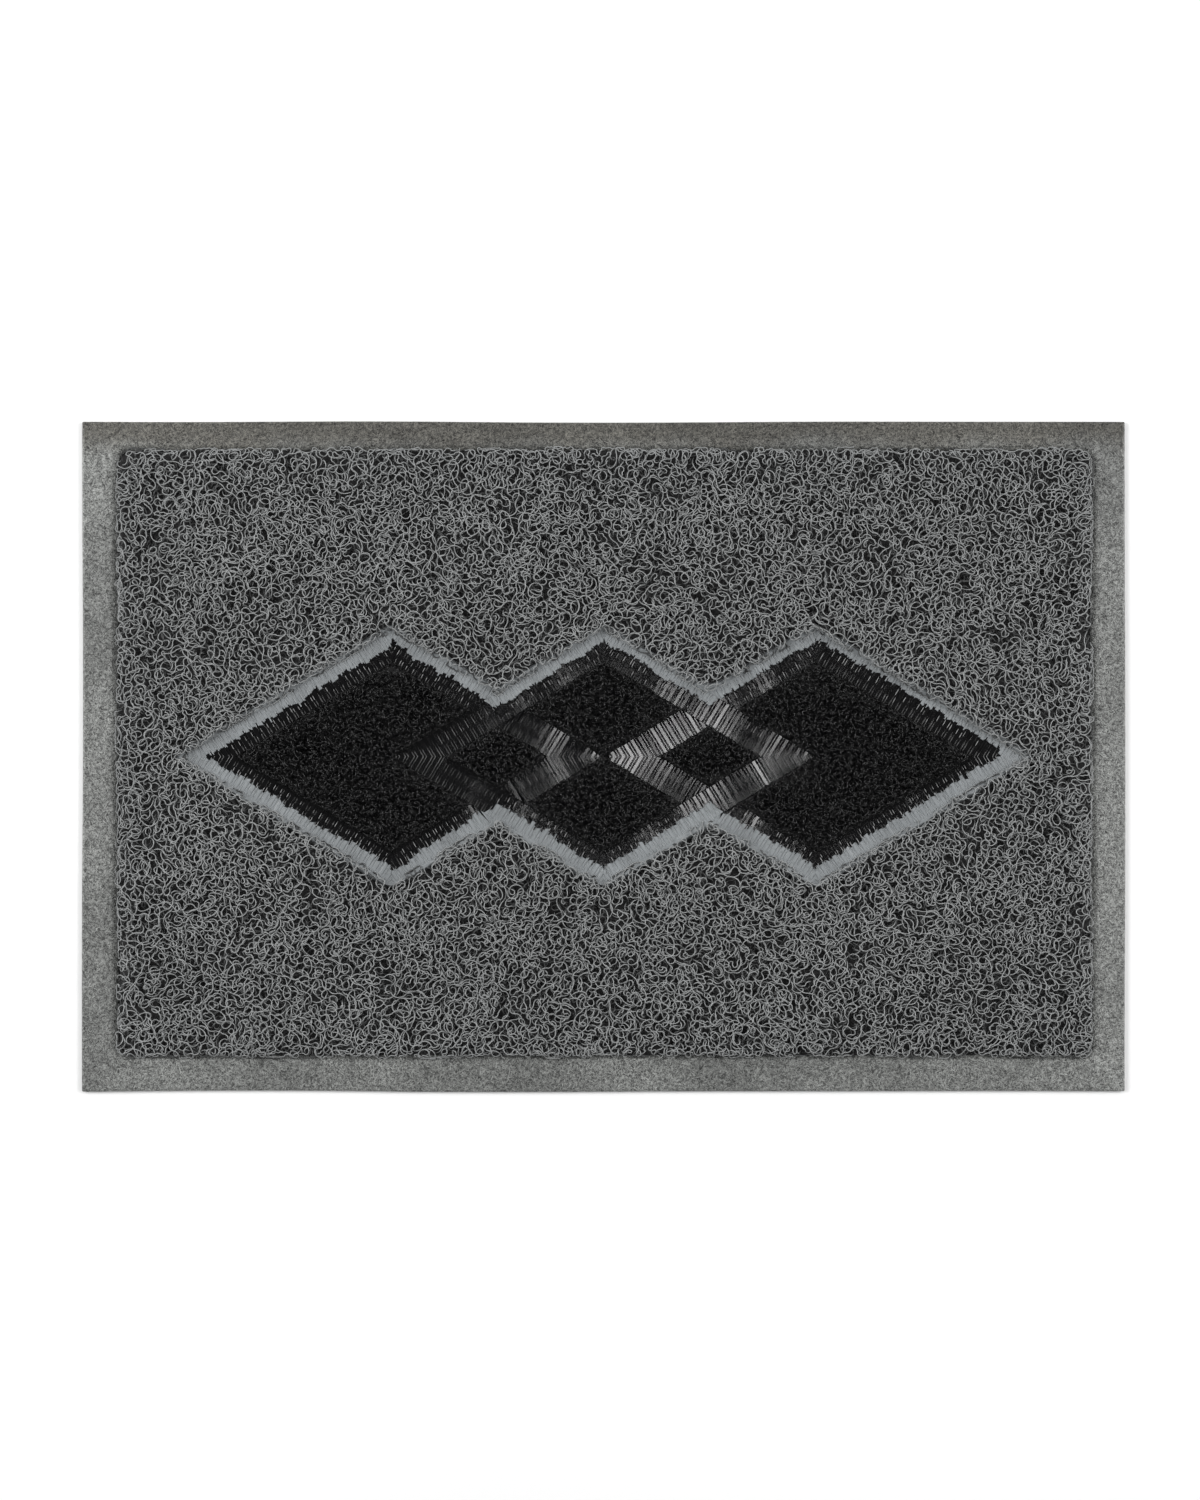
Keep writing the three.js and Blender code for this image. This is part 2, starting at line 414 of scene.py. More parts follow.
def die_pressed_vinyl(name, base, roughness, contrast):
    """Looped PVC melted flat by a ribbed steel die: smooth and shinier than the pile, with
    faint tone changes and pin marks where the strands did not quite close."""
    made, tree, place = new_material(name)
    cloud = patches(tree, place, 22 * MM, toned(base, 1 - contrast), toned(base, 1 + contrast / 2))
    pins = patches(tree, place, 1.8 * MM, toned(WHITE, 0.72), WHITE, 3.0, 0.3, 0.46)
    grain = add(
        tree, "ShaderNodeTexNoise", {"Scale": 1 / (2.2 * MM), "Detail": 2.0}, {"Vector": place}
    )
    bump = add(
        tree, "ShaderNodeBump", {"Strength": 0.3, "Distance": 0.015 * MM},
        {"Height": grain.outputs["Fac"]},
    )
    tone = add(tree, "ShaderNodeMix", {0: 1.0}, {6: cloud, 7: pins}, **MULTIPLY).outputs[2]
    return finish_material(made, tree, tone, roughness, VINYL_IOR, bump.outputs["Normal"])


def calendered_vinyl(base):
    """Filled PVC sheet from hot rollers: matt and dark, with a fine leather-like grain. Its
    near-black colour is partly painted shade, for the shadow that falls deep in the pile's gaps.
    """
    made, tree, place = new_material("calendered_vinyl_backing_with_painted_shade")
    cloud = patches(tree, place, 40 * MM, toned(base, 0.85), toned(base, 1.1))
    cells = add(
        tree, "ShaderNodeTexVoronoi", {"Scale": 1 / (1.5 * MM)}, {"Vector": place},
        feature="DISTANCE_TO_EDGE",
    )
    bump = add(
        tree, "ShaderNodeBump", {"Strength": 0.4, "Distance": 0.2 * MM},
        {"Height": cells.outputs["Distance"]},
    )
    return finish_material(made, tree, cloud, 0.6, VINYL_IOR, bump.outputs["Normal"])


def white_paint():
    """Matt emulsion paint on a studio floor: white, with next to no gloss."""
    made, tree, place = new_material("matt_white_floor")
    cloud = patches(tree, place, 0.8, srgb("f4f4f4"), srgb("f8f8f8"))
    return finish_material(made, tree, cloud, 0.9, 1.3)


# Looped filament.


def slope_of(depth_at, places):
    """The direction in which a zone's depth rises, at each place."""
    reach = 0.2 * MM
    x, y = places[:, 0], places[:, 1]
    rise = np.stack(
        (
            depth_at(x + reach, y) - depth_at(x - reach, y),
            depth_at(x, y + reach) - depth_at(x, y - reach),
        ),
        axis=1,
    )
    return rise / np.maximum(np.linalg.norm(rise, axis=1, keepdims=True), 1e-9)


def spread_starts(rng, depth_at, low, high, pitch):
    """One start in every cell of that size, at a random place in it, where it is in the zone."""
    columns = int((high[0] - low[0]) / pitch) + 1
    rows = int((high[1] - low[1]) / pitch) + 1
    cells = np.stack(np.meshgrid(np.arange(columns), np.arange(rows)), axis=-1).reshape(-1, 2)
    places = np.array(low[:2]) + (cells + rng.uniform(0.2, 0.8, cells.shape)) * pitch
    return places[depth_at(places[:, 0], places[:, 1]) > 0]


class Crowding:
    """Counts how many strands have passed each spot, so that others can turn to emptier ones."""

    def __init__(self, starts):
        margin = 30 * MM
        self.cell = 1.6 * MM
        self.low = starts.min(axis=0) - margin
        self.shape = ((starts.max(axis=0) + margin - self.low) / self.cell).astype(int) + 1
        self.counts = np.zeros(self.shape)

    def spots(self, places):
        """The column and row of the cell that each place is in."""
        found = ((places - self.low) / self.cell).astype(int)
        return tuple(np.clip(found, 1, self.shape - 2).T)

    def count(self, places):
        """Counts the strands that have come to these places, in their cells and those beside."""
        column, row = self.spots(places)
        for across, back in itertools.product((-1, 0, 1), repeat=2):
            share = 1 / (1 + abs(across)) / (1 + abs(back))
            np.add.at(self.counts, (column + across, row + back), share)

    def level(self, places):
        """How crowded each place is."""
        return self.counts[self.spots(places)]


def unit_vectors(heading):
    """Unit vectors for headings."""
    return np.stack((np.cos(heading), np.sin(heading)), axis=1)


def coil_paths(rng, depth_at, starts, count, step, tight, wide, overhang):
    """Walks every strand at once, in loops that lie side by side. A strand turns back where it
    comes to the edge of its zone, and turns to the emptier side elsewhere. Its loops are oval,
    and drift its own way."""
    strands = len(starts)
    place = starts.copy()
    heading = rng.uniform(0, math.tau, strands)
    drift = rng.uniform(0, math.tau, strands)
    oval = rng.uniform(0, math.tau, strands)
    turn = rng.choice((-1.0, 1.0), strands)
    looseness = rng.random(strands)
    lowest = rng.uniform(-overhang, overhang, strands)
    crowding = Crowding(starts)
    look = 1.6 * tight + 1 * MM  # how far to each side a strand looks
    chance_to_swap = 0.05
    chance_to_look = 0.5
    ovalness = 0.35
    drifting = 0.25
    paths = np.empty((strands, count, 2))
    for n in range(count):
        paths[:, n] = place
        crowding.count(place)
        inward = slope_of(depth_at, place)
        ahead = unit_vectors(heading)
        leaving = (depth_at(place[:, 0], place[:, 1]) < lowest + tight) & (
            (ahead * inward).sum(axis=1) < 0
        )
        side = np.sign(ahead[:, 0] * inward[:, 1] - ahead[:, 1] * inward[:, 0])
        turn = np.where(leaving, side, turn)
        turn = np.where((rng.random(strands) < chance_to_swap) & ~leaving, -turn, turn)
        left = crowding.level(place + look * unit_vectors(heading + 1))
        right = crowding.level(place + look * unit_vectors(heading - 1))
        uneven = np.abs(left - right) > 0.5
        choosing = (rng.random(strands) < chance_to_look) & ~leaving & uneven
        turn = np.where(choosing, np.sign(right - left), turn)
        looseness = np.clip(looseness + rng.normal(0, 0.22, strands), 0, 1)
        radius = tight + (wide - tight) * looseness
        radius *= 1 + ovalness * np.cos(2 * (heading - oval))
        heading += turn * step / np.where(leaving, tight, radius)
        drift += rng.normal(0, 0.15, strands)
        place = place + step * unit_vectors(heading) + drifting * step * unit_vectors(drift)
        short = np.maximum(lowest - depth_at(place[:, 0], place[:, 1]), 0)
        place += slope_of(depth_at, place) * short[:, None]
    return paths


def loop_heights(rng, strands, count, step, middle, swing):
    """How high each point of each strand lies in the pile, from 0 to 1. A loop rises and falls
    about once in its length, and a strand's ends dive out of sight."""
    along = np.arange(count) * step
    wave = math.tau / rng.uniform(9 * MM, 22 * MM, strands)
    start = rng.uniform(0, math.tau, strands)
    phase = start[:, None] + wave[:, None] * along[None]
    height = middle + swing * (0.75 * np.sin(phase) + 0.25 * np.sin(2.3 * phase + start[:, None]))
    dive = 4 * MM
    from_end = np.minimum(along, along[::-1]) / dive
    return np.clip(height, 0, 1) * np.clip(from_end, 0, 1)[None] ** 0.5


def pile_heights(depth, share, thickness):
    """Heights of a pile's points. The pile's top rises from the welds in a round shoulder, and
    its floor is the backing, or the weld where a loop reaches over it."""
    shoulder = 5.0 * MM
    near = np.clip(depth / shoulder, 0, 1)
    low_rise = 0.9 * MM
    over_weld = 1.5 * MM
    top = WELD_TOP + low_rise + (PILE_TOP - WELD_TOP - low_rise) * np.sqrt(1 - (1 - near) ** 2)
    over = np.clip(1 - depth / over_weld, 0, 1)
    floor = BACKING_TOP + (WELD_TOP - BACKING_TOP) * over
    return floor + thickness / 2 + (top - thickness - floor) * share


def cross_section(thickness, sides):
    """The outline that a strand of filament has all along its length."""
    curve = bpy.data.curves.new("cross_section", "CURVE")
    spline = curve.splines.new("POLY")
    spline.points.add(sides - 1)
    spline.use_cyclic_u = True
    for n, point in enumerate(spline.points):
        angle = math.tau * (n + 0.5) / sides + math.pi / 2
        point.co = (thickness / 2 * math.cos(angle), thickness / 2 * math.sin(angle), 0, 1)
    return new_object("cross_section", curve)


def filament(name, paths, heights, thickness, sides):
    """A piece of filament of that thickness along each path."""
    outline = cross_section(thickness, sides)
    curve = bpy.data.curves.new(name, "CURVE")
    curve.dimensions = "3D"
    curve.bevel_mode = "OBJECT"
    curve.bevel_object = outline
    curve.use_fill_caps = True
    curve.twist_mode = "Z_UP"
    strands, count = heights.shape
    points = np.concatenate((paths, heights[..., None], np.ones((strands, count, 1))), axis=2)
    for strand in points:
        spline = curve.splines.new("POLY")
        spline.points.add(count - 1)
        spline.points.foreach_set("co", strand.ravel())
    piece = alone(new_object(name, curve))
    bpy.ops.object.convert(target="MESH")
    bpy.ops.object.shade_smooth()
    bpy.data.objects.remove(outline)
    return piece


# The ribbed die.


def cut(outline, across, limit):
    """The part of a convex outline where its points, measured across, stay under the limit."""
    kept = []
    for start, end in zip(outline, outline[1:] + outline[:1]):
        start_over = start[0] * across[0] + start[1] * across[1] - limit
        end_over = end[0] * across[0] + end[1] * across[1] - limit
        if start_over <= 0:
            kept.append(start)
        if (start_over < 0) != (end_over < 0) and start_over != end_over:
            share = start_over / (start_over - end_over)
            kept.append(tuple(s + (e - s) * share for s, e in zip(start, end)))
    return kept


def area_of(outline):
    """The area inside an outline, negative for one that runs clockwise."""
    pairs = zip(outline, outline[1:] + outline[:1])
    return sum(a[0] * b[1] - b[0] * a[1] for a, b in pairs) / 2


def wide_enough(outline, width):
    """True for an outline that isn't a sliver."""
    if len(outline) < 3:
        return False
    round_it = sum(math.dist(a, b) for a, b in zip(outline, outline[1:] + outline[:1]))
    return 2 * abs(area_of(outline)) / round_it > width / 2


def grey_reach(sizes, centre, inward, x, from_tip, noise):
    """How far in from the outline the grey reaches. The black sheet was laid a little too far
    back and slightly turned, so the grey is wider in front and at the left, and its two end
    tips were cut off blunt."""
    turned = 0.007
    laid = (0.8 * MM, 1.4 * MM + turned * x)
    mean = sizes.grey_width - 0.004 * centre
    reach = mean + inward[0] * laid[0] + inward[1] * laid[1]
    blunt = 18.5 * MM
    if centre * inward[0] < 0:
        reach = max(reach, (blunt - from_tip * HALF_LENGTH / SIDE) * SIDE / HALF_WIDTH)
    return reach + noise


def die_strips(sizes):
    """Start, width and kind of each strip across a side, from the diamond's tip."""
    pitch = sizes.rib + sizes.ridge + 2 * sizes.groove
    strips = []
    for n in range(int(SIDE / pitch) + 1):
        start = n * pitch
        for kind, width in (
            ("rib", sizes.rib), ("groove", sizes.groove),
            ("ridge", sizes.ridge), ("groove", sizes.groove),
        ):
            strips.append((start, start + width, kind))
            start += width
    return strips


class Side:
    """One side of a diamond. Places on it are measured along it from its tip, and inwards."""

    def __init__(self, centre, right, back):
        self.centre = centre
        self.right = right
        self.back = back
        self.tip = (centre + right * HALF_LENGTH, 0.0)
        self.along = (-right * HALF_LENGTH / SIDE, back * HALF_WIDTH / SIDE)
        self.inward = (-right * HALF_WIDTH / SIDE, -back * HALF_LENGTH / SIDE)

    def place(self, far, deep):
        """A place on the side, in plan."""
        parts = zip(self.tip, self.along, self.inward)
        return tuple(tip + along * far + inward * deep for tip, along, inward in parts)

    def strip(self, start, end, near, far):
        """The outline of a strip, from the near depths at its start and end to the far ones."""
        return [
            self.place(start, near[0]), self.place(end, near[1]),
            self.place(end, far[1]), self.place(start, far[0]),
        ]

    def trimmed(self, outline, cuts):
        """An outline cut to the side's own quarter of its diamond, and by these cuts."""
        quarter = (((0, -self.back), 0.0), ((-self.right, 0), -self.right * self.centre))
        for across, limit in (*quarter, *cuts):
            outline = cut(outline, across, limit)
        return outline


def torn_strips(sizes, rng, side):
    """Each strip of a side, with how far in the grey reaches, at its middle and both ends."""
    swing = 0.35 * MM
    jag = 0.7 * MM
    chance_of_tear = 0.06
    slow = 0.0
    for start, end, kind in die_strips(sizes):
        slow = 0.9 * slow + rng.normal(0, swing)
        middle = (start + end) / 2
        tooth = slow + rng.normal(0, jag)
        if rng.random() < chance_of_tear:
            tooth += rng.choice((-1, 1)) * rng.uniform(1.0, 2.0) * MM
        x = side.place(middle, 0)[0]
        reach = grey_reach(sizes, side.centre, side.inward, x, middle, tooth)
        slant = rng.normal(0, swing)
        ends = [min(max(r, 1 * MM), sizes.weld_width) for r in (reach - slant, reach + slant)]
        yield start, end, kind, reach, ends


def coloured_tiles(side, grey, black, whole, reach, width):
    """The colour, outline and cuts of each tile that a strip falls into."""
    if side.centre == 0:
        beside = (HALF_WIDTH * side.right, -HALF_LENGTH * side.back)
        if min(beside[0] * p[0] + beside[1] * p[1] for p in whole) > reach * SIDE:
            return [("black", whole, ())]
        return [
            ("grey", grey, ((beside, reach * SIDE),)),
            ("black", grey, (((-beside[0], -beside[1]), -reach * SIDE),)),
            ("black", black, ()),
        ]
    if side.centre * side.right > 0:
        return [("grey", grey, ()), ("black", black, ())]
    outer = math.copysign(1, side.centre)
    across = (HALF_WIDTH * outer, HALF_LENGTH * side.back)
    outside = ((-across[0], -across[1]), -HALF_LENGTH * HALF_WIDTH)
    within = (across, HALF_LENGTH * HALF_WIDTH - width * SIDE)
    short = ((-outer, 0), -NECK)
    return [
        ("grey", grey, (outside,)), ("black", black, (outside,)),
        ("black", whole, (within, short)),
    ]


def die_tiles(sizes, rng):
    """Outlines of the strips that the die leaves, by colour and kind. The middle diamond's band
    runs through, and the others stop at it. At the outline the strips are grey up to a torn
    line, and past it they are black."""
    tiles = {(tint, kind): [] for tint in ("grey", "black") for kind in ("rib", "ridge", "groove")}
    width = sizes.weld_width
    for side in (Side(*each) for each in itertools.product(CENTRES, (-1, 1), (-1, 1))):
        for start, end, kind, reach, ends in torn_strips(sizes, rng, side):
            grey = side.strip(start, end, (0, 0), ends)
            black = side.strip(start, end, ends, (width, width))
            whole = side.strip(start, end, (0, 0), (width, width))
            for tint, outline, cuts in coloured_tiles(side, grey, black, whole, reach, width):
                outline = side.trimmed(outline, cuts)
                if wide_enough(outline, 0.1 * MM):
                    tiles[tint, kind].append(outline)
    return tiles


def die_pressing(name, tint, tiles, low, heights, shoulders):
    """The die's ribs, ridges and grooves in one colour. A tile too narrow for its shoulders
    is raised with upright sides."""
    parts = []
    for kind, top in heights.items():
        room = 2.4  # a tile's width for each unit that its shoulders draw in
        drawn_in = room * sum(inset for inset, _ in shoulders[kind])
        full = [o for o in tiles[tint, kind] if wide_enough(o, drawn_in)]
        narrow = [o for o in tiles[tint, kind] if not wide_enough(o, drawn_in)]
        flat = top if kind == "groove" else top - 0.06 * MM
        if full:
            parts.append(raised_tiles(f"{name}_{kind}", full, low, top, shoulders[kind]))
        if narrow:
            parts.append(raised_tiles(f"{name}_{kind}_narrow", narrow, low, flat, []))
    return parts


def raised_tiles(name, outlines, low, high, shoulders):
    """Closed tiles with these outlines. Each shoulder is how far the top draws in and how much
    higher it comes by that."""
    outlines = [outline if area_of(outline) > 0 else outline[::-1] for outline in outlines]
    points = [(*p, low) for outline in outlines for p in outline]
    faces = []
    first = 0
    for outline in outlines:
        faces.append(list(range(first, first + len(outline))))
        first += len(outline)
    piece = from_outline(name, points, faces)
    lift = high - low - sum(rise for _, rise in shoulders)
    edit(
        piece,
        (bpy.ops.mesh.remove_doubles, {"threshold": MERGE}),
        (bpy.ops.mesh.extrude_region_move, {"TRANSFORM_OT_translate": {"value": (0, 0, lift)}}),
        *[(bpy.ops.mesh.inset, {"thickness": inset, "depth": rise}) for inset, rise in shoulders],
        SELECT_ALL,
        FACE_OUT,
    )
    places = points_of(piece)
    x, y = places[:, 0], places[:, 1]
    uneven = 0.11 * MM * ripple(x, y, 36 * MM, 51) + 0.012 * MM * ripple(x, y, 4.5 * MM, 52)
    places[:, 2] += np.where(places[:, 2] > low + lift / 2, uneven, 0)
    move_points(piece, places)
    return piece


def base_plate(name, node, top):
    """A merged copy of a CAD node, lowered to that top."""
    piece = new_object(name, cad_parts[node].data.copy())
    places = points_of(piece)
    places[:, 2] = np.minimum(places[:, 2], top)
    move_points(piece, places)
    edit(piece, (bpy.ops.mesh.remove_doubles, {"threshold": MERGE}))
    return piece


# Shapes that single pieces need.


def bowed(places):
    """Draws places in as far as the mat's sides bow there."""
    return places * (1 - bow(places[:, 0], places[:, 1])[:, None] / MAT_HALF)


def rounded_corners(places, radius):
    """Draws points that lie past the mat's round corners in to them."""
    half = MAT_HALF - radius
    past = np.maximum(np.abs(places) - half, 0)
    reach = np.linalg.norm(past, axis=1, keepdims=True)
    drawn = past * np.minimum(1, radius / np.maximum(reach, 1e-9))
    return np.sign(places) * (np.minimum(np.abs(places), half) + drawn)


def rounded_ring(low, high, radius, pitch):
    """Points round a rounded rectangle, anticlockwise. Rings with the same pitch have the same
    number of points, because the number comes from the mat's own sides."""
    corner_points = 8
    ring = []
    spans = (CAD_HIGH.x - CAD_LOW.x, CAD_HIGH.y - CAD_LOW.y)
    centres = (
        (high[0] - radius, low[1] + radius, -90),
        (high[0] - radius, high[1] - radius, 0),
        (low[0] + radius, high[1] - radius, 90),
        (low[0] + radius, low[1] + radius, 180),
    )
    for n, (x, y, turn) in enumerate(centres):
        for k in range(corner_points + 1):
            angle = math.radians(turn + 90 * k / corner_points)
            ring.append((x + radius * math.cos(angle), y + radius * math.sin(angle)))
        start = ring[-1]
        next_x, next_y, next_turn = centres[(n + 1) % 4]
        angle = math.radians(next_turn)
        end = (next_x + radius * math.cos(angle), next_y + radius * math.sin(angle))
        steps = int(spans[(n + 1) % 2] / pitch)
        for k in range(1, steps):
            ring.append(tuple(s + (e - s) * k / steps for s, e in zip(start, end)))
    return np.array(ring)


def lofted(name, rings):
    """A closed solid through rings of points, each with the same number, last joined to first."""
    count = len(rings[0])
    points = np.concatenate(rings)
    faces = []
    for r in range(len(rings)):
        after = (r + 1) % len(rings)
        for k in range(count):
            step = (k + 1) % count
            faces.append((r * count + k, r * count + step, after * count + step, after * count + k))
    piece = from_outline(name, points, faces)
    edit(piece, FACE_OUT)
    return piece


def edge_surface(x, y, sizes):
    """Height of the pressed edge's skin, which rises from the rim to the pile."""
    from_outside = np.minimum(CAD_HIGH.x - np.abs(x), CAD_HIGH.y - np.abs(y))
    inner = np.maximum(-field_depth(x, y), 0)
    share = np.clip(from_outside / np.maximum(from_outside + inner, 1e-6), 0, 1)
    lumps = 0.08 * MM * ripple(x, y, 4 * MM, 11) + 0.1 * MM * ripple(x, y, 14 * MM, 12)
    fall = 2.2 * MM * np.clip(1 - inner / (3.5 * MM), 0, 1) ** 2
    rise = (WELD_TOP - 0.3 * MM - sizes.edge_rim) * share ** 1.4
    return sizes.edge_rim + rise - fall + lumps * share ** 0.3


def grey_layer(sizes, rng, pitch, middle, swing):
    """Paths and heights of one layer of the grey pile's strands."""
    step = 1.7 * MM
    count = 32
    starts = spread_starts(rng, grey_depth, FIELD_LOW, FIELD_HIGH, pitch)
    paths = coil_paths(
        rng, grey_depth, starts, count, step, sizes.loop_tight, sizes.loop_wide, 1.7 * MM
    )
    share = loop_heights(rng, len(starts), count, step, middle, swing)
    depth = grey_depth(paths[..., 0], paths[..., 1])
    return paths, pile_heights(depth, share, sizes.grey_filament)


def edge_skin(sizes):
    """The pressed edge as one closed ring, from the mat's outline in under the pile."""
    pitch = 1.6 * MM
    under_pile = 0.8 * MM
    rim_drop = 0.35 * MM
    outer = bowed(rounded_ring(CAD_LOW, CAD_HIGH, sizes.mat_corner, pitch))
    inner = rounded_ring(
        np.array(FIELD_LOW[:2]) + under_pile, np.array(FIELD_HIGH[:2]) - under_pile,
        sizes.field_corner, pitch,
    )
    bottom = BACKING_TOP + 0.02 * MM
    rows = 17
    first = 0.012  # where the top begins, as a share of the way in
    rings = [np.column_stack((outer, np.full(len(outer), bottom)))]
    for n in range(rows):
        share = first + 0.988 * n / (rows - 1)
        place = outer + (inner - outer) * share
        rings.append(np.column_stack((place, edge_surface(place[:, 0], place[:, 1], sizes))))
    rim = rings[1].copy()
    rim[:, :2] = outer
    rim[:, 2] -= rim_drop
    rings.insert(1, rim)
    rings.append(np.column_stack((inner, np.full(len(inner), bottom))))
    skin = lofted("pressed_edge", rings)
    bpy.ops.object.shade_smooth()
    return skin


def edge_strands(sizes):
    """The strands that lie pressed flat in the edge's skin, standing a little proud of it."""
    rng = np.random.default_rng(31)
    step = 1.3 * MM
    count = 13
    flattened = 0.4
    proud = 0.03 * MM
    starts = spread_starts(rng, strand_depth, CAD_LOW, CAD_HIGH, 4.9 * MM)
    paths = coil_paths(
        rng, strand_depth, starts, count, step, 0.6 * sizes.loop_tight, 0.7 * sizes.loop_wide, 0
    )
    flat = np.zeros(paths.shape[:2])
    strands = filament("pressed_edge_strands", paths, flat, 0.75 * sizes.grey_filament, 3)
    places = points_of(strands)
    places[:, 2] *= flattened
    places[:, 2] += edge_surface(places[:, 0], places[:, 1], sizes) + proud
    move_points(strands, places)
    plan_map(strands)
    return strands


def motif_ring(outset, height, pitch, softness):
    """Points round the motif's outline, moved outwards, with its corners softened."""
    half_length = HALF_LENGTH + outset * SIDE / HALF_WIDTH
    half_width = HALF_WIDTH + outset * SIDE / HALF_LENGTH
    notch = half_width * (1 - HALF_LENGTH / 2 / half_length)
    quarter = [
        (HALF_LENGTH + half_length, 0.0), (HALF_LENGTH, half_width),
        (HALF_LENGTH / 2, notch), (0.0, half_width),
    ]
    corners = quarter + [(-x, y) for x, y in quarter[-2::-1]]
    corners += [(x, -y) for x, y in corners[-2:0:-1]]
    ring = []
    for start, end in zip(corners, corners[1:] + corners[:1]):
        whole_side = abs(end[1] - start[1]) > HALF_WIDTH * 0.7
        steps = max(8, int(SIDE / pitch) if whole_side else int(SIDE / pitch / 2))
        for k in range(steps):
            ring.append(tuple(s + (e - s) * k / steps for s, e in zip(start, end)))
    ring = np.array(ring)
    for _ in range(softness):
        ring = (np.roll(ring, 1, axis=0) + 2 * ring + np.roll(ring, -1, axis=0)) / 4
    return np.column_stack((ring, np.full(len(ring), height)))


def slope_to_pile():
    """The grey coil's melted foot, a lip that climbs from the weld and dips under the pile."""
    pitch = 2.4 * MM
    profile = (
        # millimetres out from the motif and up, and how much the corners are softened
        (-1.5, 1.9, 0), (-1.5, 4.6, 0), (-0.5, 4.95, 1), (0.3, 5.5, 2), (0.9, 6.2, 3),
        (1.5, 6.5, 4), (2.2, 6.0, 6), (2.8, 4.8, 8), (3.3, 3.2, 8), (3.5, 1.9, 8),
    )
    rings = [motif_ring(out * MM, up * MM, pitch, soft) for out, up, soft in profile]
    for ring in rings[3:-1]:
        for axis, swing, wave, seed in ((2, 0.3, 5, 21), (0, 0.35, 7, 22), (1, 0.35, 7, 23)):
            ring[:, axis] += swing * MM * ripple(ring[:, 0], ring[:, 1], wave * MM, seed)
    return lofted("grey_slope", rings)


def weld_parts(sizes, tint, node, depth, kinds):
    """A weld's plate, and the tiles on it. Each kind of tile has its drop below the weld's
    height and its shoulders. These and the tiles' depth are in millimetres."""
    tiles = die_tiles(sizes, np.random.default_rng(5))
    plate = base_plate(f"{node}_ribbed", node, WELD_TOP - 1.2 * MM)
    low = WELD_TOP - depth * MM
    heights = {kind: WELD_TOP - drop * MM for kind, (drop, _) in kinds.items()}
    shoulders = {kind: [(i * MM, r * MM) for i, r in steps] for kind, (_, steps) in kinds.items()}
    return [plate, *die_pressing(f"{tint}_weld", tint, tiles, low, heights, shoulders)]


def joined_weld(parts, material, slot, node):
    """Joins a weld's parts, with crisp edges on its ribs, and finishes it."""
    piece = join(f"{node}_ribbed", parts)
    bpy.ops.object.shade_smooth_by_angle(angle=math.radians(24))
    finish_piece(piece, material, slot, node)


def softbox(name, place, size, power, straight_down=False):
    """A rectangular studio light that faces the mat's middle, or straight down."""
    light = bpy.data.lights.new(name, "AREA")
    light.shape = "RECTANGLE"
    light.size = size[0]
    light.size_y = size[1]
    light.energy = power
    lamp = new_object(name, light)
    lamp.location = place
    direction = -lamp.location
    if straight_down:
        direction = direction * 0
        direction.z = -1
    lamp.rotation_euler = direction.to_track_quat("-Z", "Y").to_euler()


# Operators, one for each kind of piece.


class MAT_OT_backing_sheet(bpy.types.Operator):
    """Make the backing sheet, with cushions embossed in its underside"""

    bl_idname = "door_mat.backing_sheet"
    bl_label = "Backing sheet"

    def execute(self, context):
        sizes = context.scene.mat_sizes
        size = CAD_HIGH - CAD_LOW
        columns, rows = round(size.x / sizes.cushion), round(size.y / sizes.cushion)
        deselect_all()
        bpy.ops.mesh.primitive_grid_add(x_subdivisions=columns, y_subdivisions=rows, size=1)
        piece = context.active_object
        piece.name = "backing_sheet_embossed"
        cushion_inset = 1.1 * MM
        cushion_depth = 0.3 * MM
        edit(
            piece,
            (bpy.ops.transform.resize, {"value": (size.x, size.y, 1)}),
            (bpy.ops.transform.translate, {"value": (0, 0, cushion_depth)}),
            (bpy.ops.mesh.extrude_region_move, {
                "TRANSFORM_OT_translate": {"value": (0, 0, BACKING_TOP - cushion_depth)}
            }),
            SELECT_ALL,
            FACE_OUT,
        )
        for face in piece.data.polygons:
            face.select = face.normal.z < -0.5
        alone(piece)
        bpy.ops.object.mode_set(mode="EDIT")
        bpy.ops.mesh.inset(thickness=cushion_inset, depth=cushion_depth, use_individual=True)
        bpy.ops.object.mode_set(mode="OBJECT")
        places = points_of(piece)
        places[:, :2] = bowed(rounded_corners(places[:, :2], sizes.mat_corner))
        move_points(piece, places)
        sheet = calendered_vinyl(context.scene.mat_colours.backing)
        finish_piece(piece, sheet, "backing", "backing_sheet")
        return {"FINISHED"}


class MAT_OT_pressed_edge(bpy.types.Operator):
    """Make the pressed edge, one piece all round, with the flattened strands that show in it"""

    bl_idname = "door_mat.pressed_edge"
    bl_label = "Pressed edge"

    def execute(self, context):
        sizes = context.scene.mat_sizes
        colours = context.scene.mat_colours
        strips = [f"pressed_edge_{side}" for side in ("front", "right", "back", "left")]
        skin = edge_skin(sizes)
        felt = heat_pressed_vinyl("heat_pressed_grey_vinyl_felt", colours.edge, colours.scorch)
        finish_piece(skin, felt, "pressed_grey", *strips)
        strands = edge_strands(sizes)
        lighter = [toned(tone, 1.16) for tone in (colours.edge, colours.scorch)]
        flat_strands = heat_pressed_vinyl("heat_pressed_grey_vinyl_strands", *lighter)
        finish_piece(strands, flat_strands, "pressed_grey", *strips)
        return {"FINISHED"}


